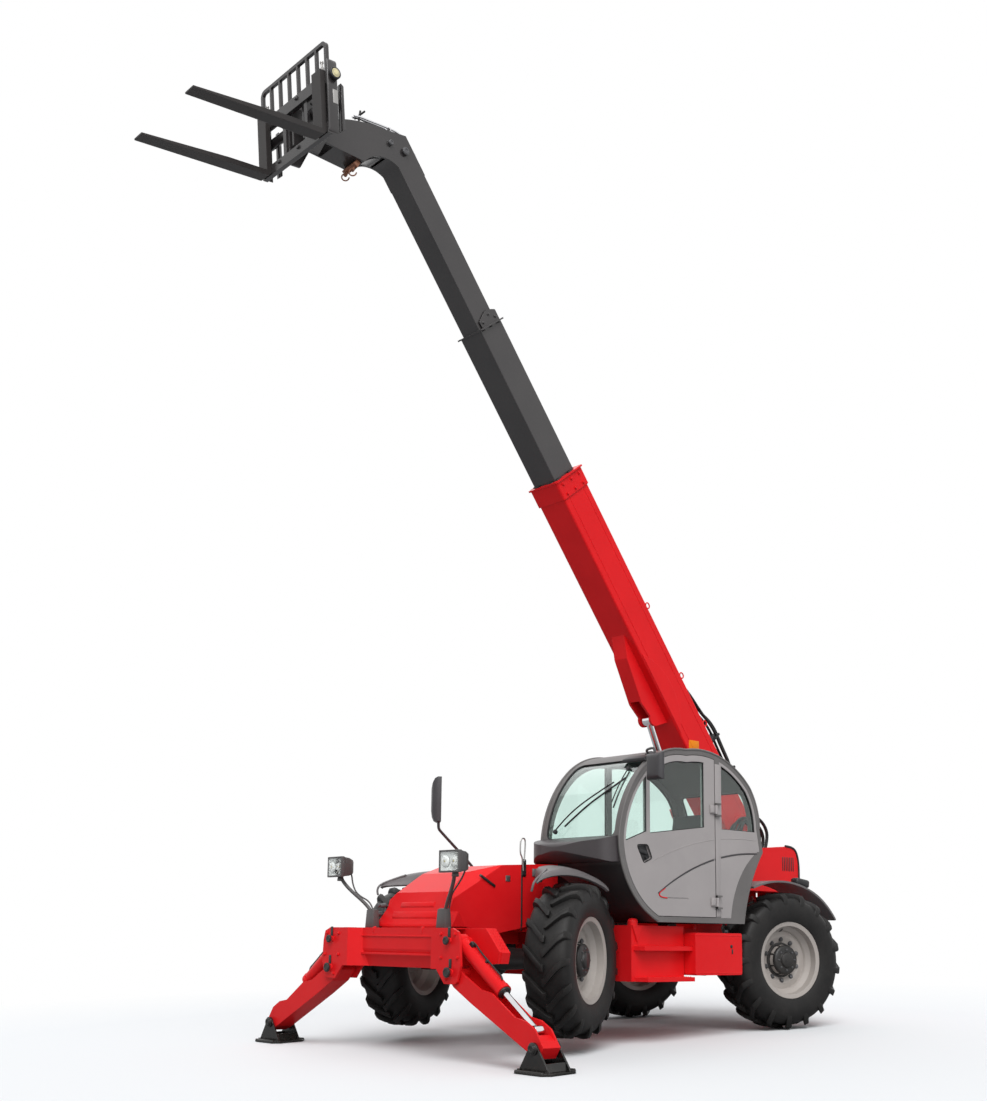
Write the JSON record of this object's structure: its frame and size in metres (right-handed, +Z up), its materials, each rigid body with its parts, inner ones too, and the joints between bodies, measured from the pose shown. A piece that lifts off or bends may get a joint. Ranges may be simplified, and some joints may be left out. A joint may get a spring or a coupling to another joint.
{
  "type": "telehandler",
  "caption": "Telescopic handler with a three-section boom, pallet forks, enclosed cab, four steered wheels and two front stabilisers set down.",
  "frame": {"origin": "on the ground, in the middle of the machine's overall box", "axes": "+X to the machine's left (cab side), +Y to its rear, +Z up"},
  "size_m": [3.912, 6.8927, 8.307],
  "materials": {
    "red_paint": "gloss",
    "dark_paint": "gloss",
    "grey_paint": "satin",
    "rim_paint": "satin",
    "dark_plastic": "matte",
    "chrome": "polished",
    "tyre": "matte",
    "glass": "clear",
    "cast": "matte",
    "vinyl": "matte",
    "lens": "gloss"
  },
  "bodies": {
    "chassis": {"chassis_frame": "red_paint", "nose_body": "red_paint", "rear_body": "red_paint", "engine_block": "cast", "engine_bay": "dark_plastic", "front_axle": "cast", "rear_axle": "cast", "stabiliser_beam": "red_paint", "cab_frame": "dark_plastic", "cab_side_panel": "grey_paint", "cab_windows": "glass", "cab_cowl": "dark_plastic", "seat": "vinyl", "steering_wheel": "dark_plastic", "fuel_tank": "dark_plastic", "side_steps": "red_paint", "front_fenders": "dark_plastic", "rear_fenders": "dark_plastic", "headlamps": "dark_paint", "mirrors": "dark_paint", "tail_lamps": "lens"},
    "hood": {"engine_hood": "red_paint"},
    "door": {"cab_door": "grey_paint", "door_glass": "glass"},
    "boom_outer": {"boom_outer": "red_paint"},
    "boom_middle": {"boom_middle": "dark_paint"},
    "boom_inner": {"boom_inner": "dark_paint"},
    "lift_cylinder": {"lift_cylinder": "dark_paint"},
    "lift_rod": {"lift_rod": "chrome"},
    "carriage": {"carriage": "dark_paint", "forks": "dark_paint"},
    "tilt_cylinder": {"tilt_cylinder": "dark_paint"},
    "tilt_rod": {"tilt_rod": "chrome"},
    "leg_left": {"stabiliser_leg_left": "red_paint"},
    "foot_left": {"stabiliser_foot_left": "dark_paint"},
    "leg_cylinder_left": {"leg_cylinder_left": "red_paint"},
    "leg_rod_left": {"leg_rod_left": "chrome"},
    "leg_right": {"stabiliser_leg_right": "red_paint"},
    "foot_right": {"stabiliser_foot_right": "dark_paint"},
    "leg_cylinder_right": {"leg_cylinder_right": "red_paint"},
    "leg_rod_right": {"leg_rod_right": "chrome"},
    "knuckle_front_left": {"knuckle_front_left": "cast"},
    "wheel_front_left": {"rim_front_left": "rim_paint", "tyre_front_left": "tyre"},
    "knuckle_front_right": {"knuckle_front_right": "cast"},
    "wheel_front_right": {"rim_front_right": "rim_paint", "tyre_front_right": "tyre"},
    "knuckle_rear_left": {"knuckle_rear_left": "cast"},
    "wheel_rear_left": {"rim_rear_left": "rim_paint", "tyre_rear_left": "tyre"},
    "knuckle_rear_right": {"knuckle_rear_right": "cast"},
    "wheel_rear_right": {"rim_rear_right": "rim_paint", "tyre_rear_right": "tyre"}
  },
  "joints": [
    {"name": "boom_lift", "type": "hinge", "parent": "chassis", "child": "boom_outer", "pos_m": [-0.093, 3.14374, 1.90139], "axis": [-1, 0, 0], "range_deg": [-55.25, 17.75]},
    {"name": "lift_cylinder_swing", "type": "hinge", "parent": "chassis", "child": "lift_cylinder", "pos_m": [-0.093, 2.81901, 0.96767], "axis": [-1, 0, 0], "range_deg": [-40.23, 13.6]},
    {"name": "lift_rod_slide", "type": "slide", "parent": "lift_cylinder", "child": "lift_rod", "axis": [0, -0.3863, 0.9224], "range_m": [-0.77154, 0.24991]},
    {"name": "telescope_middle", "type": "slide", "parent": "boom_outer", "child": "boom_middle", "axis": [0, -0.58, 0.8146], "range_m": [-1.4, 1.6]},
    {"name": "telescope_inner", "type": "slide", "parent": "boom_middle", "child": "boom_inner", "axis": [0, -0.58, 0.8146], "range_m": [-1.4, 1.6]},
    {"name": "carriage_tilt", "type": "hinge", "parent": "boom_inner", "child": "carriage", "pos_m": [-0.093, -1.9971, 7.74258], "axis": [-1, 0, 0], "range_deg": [-45, 65]},
    {"name": "tilt_cylinder_swing", "type": "hinge", "parent": "boom_inner", "child": "tilt_cylinder", "pos_m": [-0.093, -1.1076, 7.87257], "axis": [-1, 0, 0], "range_deg": [-6.26, 4.34]},
    {"name": "tilt_rod_slide", "type": "slide", "parent": "tilt_cylinder", "child": "tilt_rod", "axis": [0, -0.9965, 0.0841], "range_m": [-0.20626, 0.14279]},
    {"name": "leg_left_swing", "type": "hinge", "parent": "chassis", "child": "leg_left", "pos_m": [0.815, -1.23584, 0.67917], "axis": [0, -0.9992, 0.0401], "range_deg": [0, 100]},
    {"name": "leg_cylinder_left_swing", "type": "hinge", "parent": "chassis", "child": "leg_cylinder_left", "pos_m": [0.798, -1.22613, 0.92097], "axis": [0, -0.9992, 0.0401], "range_deg": [-1, 106.23]},
    {"name": "leg_rod_left_slide", "type": "slide", "parent": "leg_cylinder_left", "child": "leg_rod_left", "axis": [0.8108, -0.0235, -0.5849], "range_m": [-0.36586, 0.003]},
    {"name": "foot_left_pivot", "type": "hinge", "parent": "leg_left", "child": "foot_left", "pos_m": [1.761, -1.25611, 0.17458], "axis": [0, -0.9992, 0.0401], "range_deg": [-30, 20]},
    {"name": "leg_right_swing", "type": "hinge", "parent": "chassis", "child": "leg_right", "pos_m": [-0.815, -1.23584, 0.67917], "axis": [0, 0.9992, -0.0401], "range_deg": [0, 100]},
    {"name": "leg_cylinder_right_swing", "type": "hinge", "parent": "chassis", "child": "leg_cylinder_right", "pos_m": [-0.798, -1.22613, 0.92097], "axis": [0, 0.9992, -0.0401], "range_deg": [-1, 106.23]},
    {"name": "leg_rod_right_slide", "type": "slide", "parent": "leg_cylinder_right", "child": "leg_rod_right", "axis": [-0.8108, -0.0235, -0.5849], "range_m": [-0.36586, 0.003]},
    {"name": "foot_right_pivot", "type": "hinge", "parent": "leg_right", "child": "foot_right", "pos_m": [-1.761, -1.25611, 0.17458], "axis": [0, 0.9992, -0.0401], "range_deg": [-30, 20]},
    {"name": "front_left_steer", "type": "hinge", "parent": "chassis", "child": "knuckle_front_left", "pos_m": [0.8, -0.29274, 0.73737], "axis": [0, 0.0401, 0.9992], "range_deg": [-56.8, 9.2]},
    {"name": "front_left_wheel", "type": "hinge", "parent": "knuckle_front_left", "child": "wheel_front_left", "pos_m": [0.98299, -0.2121, 0.73413], "axis": [0.915, 0.4032, -0.0162], "continuous": true},
    {"name": "front_right_steer", "type": "hinge", "parent": "chassis", "child": "knuckle_front_right", "pos_m": [-0.8, -0.29274, 0.73737], "axis": [0, 0.0401, 0.9992], "range_deg": [-56.8, 9.2]},
    {"name": "front_right_wheel", "type": "hinge", "parent": "knuckle_front_right", "child": "wheel_front_right", "pos_m": [-0.98299, -0.37339, 0.74061], "axis": [-0.915, -0.4032, 0.0162], "continuous": true},
    {"name": "rear_left_steer", "type": "hinge", "parent": "chassis", "child": "knuckle_rear_left", "pos_m": [0.8, 2.505, 0.625], "axis": [0, 0.0401, 0.9992], "range_deg": [-21.2, 44.8]},
    {"name": "rear_left_wheel", "type": "hinge", "parent": "knuckle_rear_left", "child": "wheel_rear_left", "pos_m": [0.99577, 2.46413, 0.62664], "axis": [0.9789, -0.2043, 0.0082], "continuous": true},
    {"name": "rear_right_steer", "type": "hinge", "parent": "chassis", "child": "knuckle_rear_right", "pos_m": [-0.8, 2.505, 0.625], "axis": [0, 0.0401, 0.9992], "range_deg": [-21.2, 44.8]},
    {"name": "rear_right_wheel", "type": "hinge", "parent": "knuckle_rear_right", "child": "wheel_rear_right", "pos_m": [-0.99577, 2.54587, 0.62336], "axis": [-0.9789, 0.2043, -0.0082], "continuous": true},
    {"name": "door_swing", "type": "hinge", "parent": "chassis", "child": "door", "pos_m": [1.168, 1.43401, 1.54372], "axis": [0, 0.0401, 0.9992], "range_deg": [0, 85]},
    {"name": "hood_lift", "type": "hinge", "parent": "chassis", "child": "hood", "pos_m": [-0.4146, 1.142, 1.44966], "axis": [0, 0.9992, -0.0401], "range_deg": [0, 60]}
  ],
  "couplings": [
    {"joint": "lift_cylinder_swing", "follows": "boom_lift", "ratio": 0.71006},
    {"joint": "lift_rod_slide", "follows": "boom_lift", "m_per_rad": 0.797},
    {"joint": "telescope_inner", "follows": "telescope_middle", "ratio": 1},
    {"joint": "tilt_cylinder_swing", "follows": "carriage_tilt", "ratio": -0.09176},
    {"joint": "tilt_rod_slide", "follows": "carriage_tilt", "m_per_rad": -0.17825},
    {"joint": "leg_cylinder_left_swing", "follows": "leg_left_swing", "ratio": 1.0523},
    {"joint": "leg_rod_left_slide", "follows": "leg_left_swing", "m_per_rad": -0.20791},
    {"joint": "leg_cylinder_right_swing", "follows": "leg_right_swing", "ratio": 1.0523},
    {"joint": "leg_rod_right_slide", "follows": "leg_right_swing", "m_per_rad": -0.20791},
    {"joint": "front_right_steer", "follows": "front_left_steer", "ratio": 1},
    {"joint": "rear_right_steer", "follows": "rear_left_steer", "ratio": 1}
  ]
}
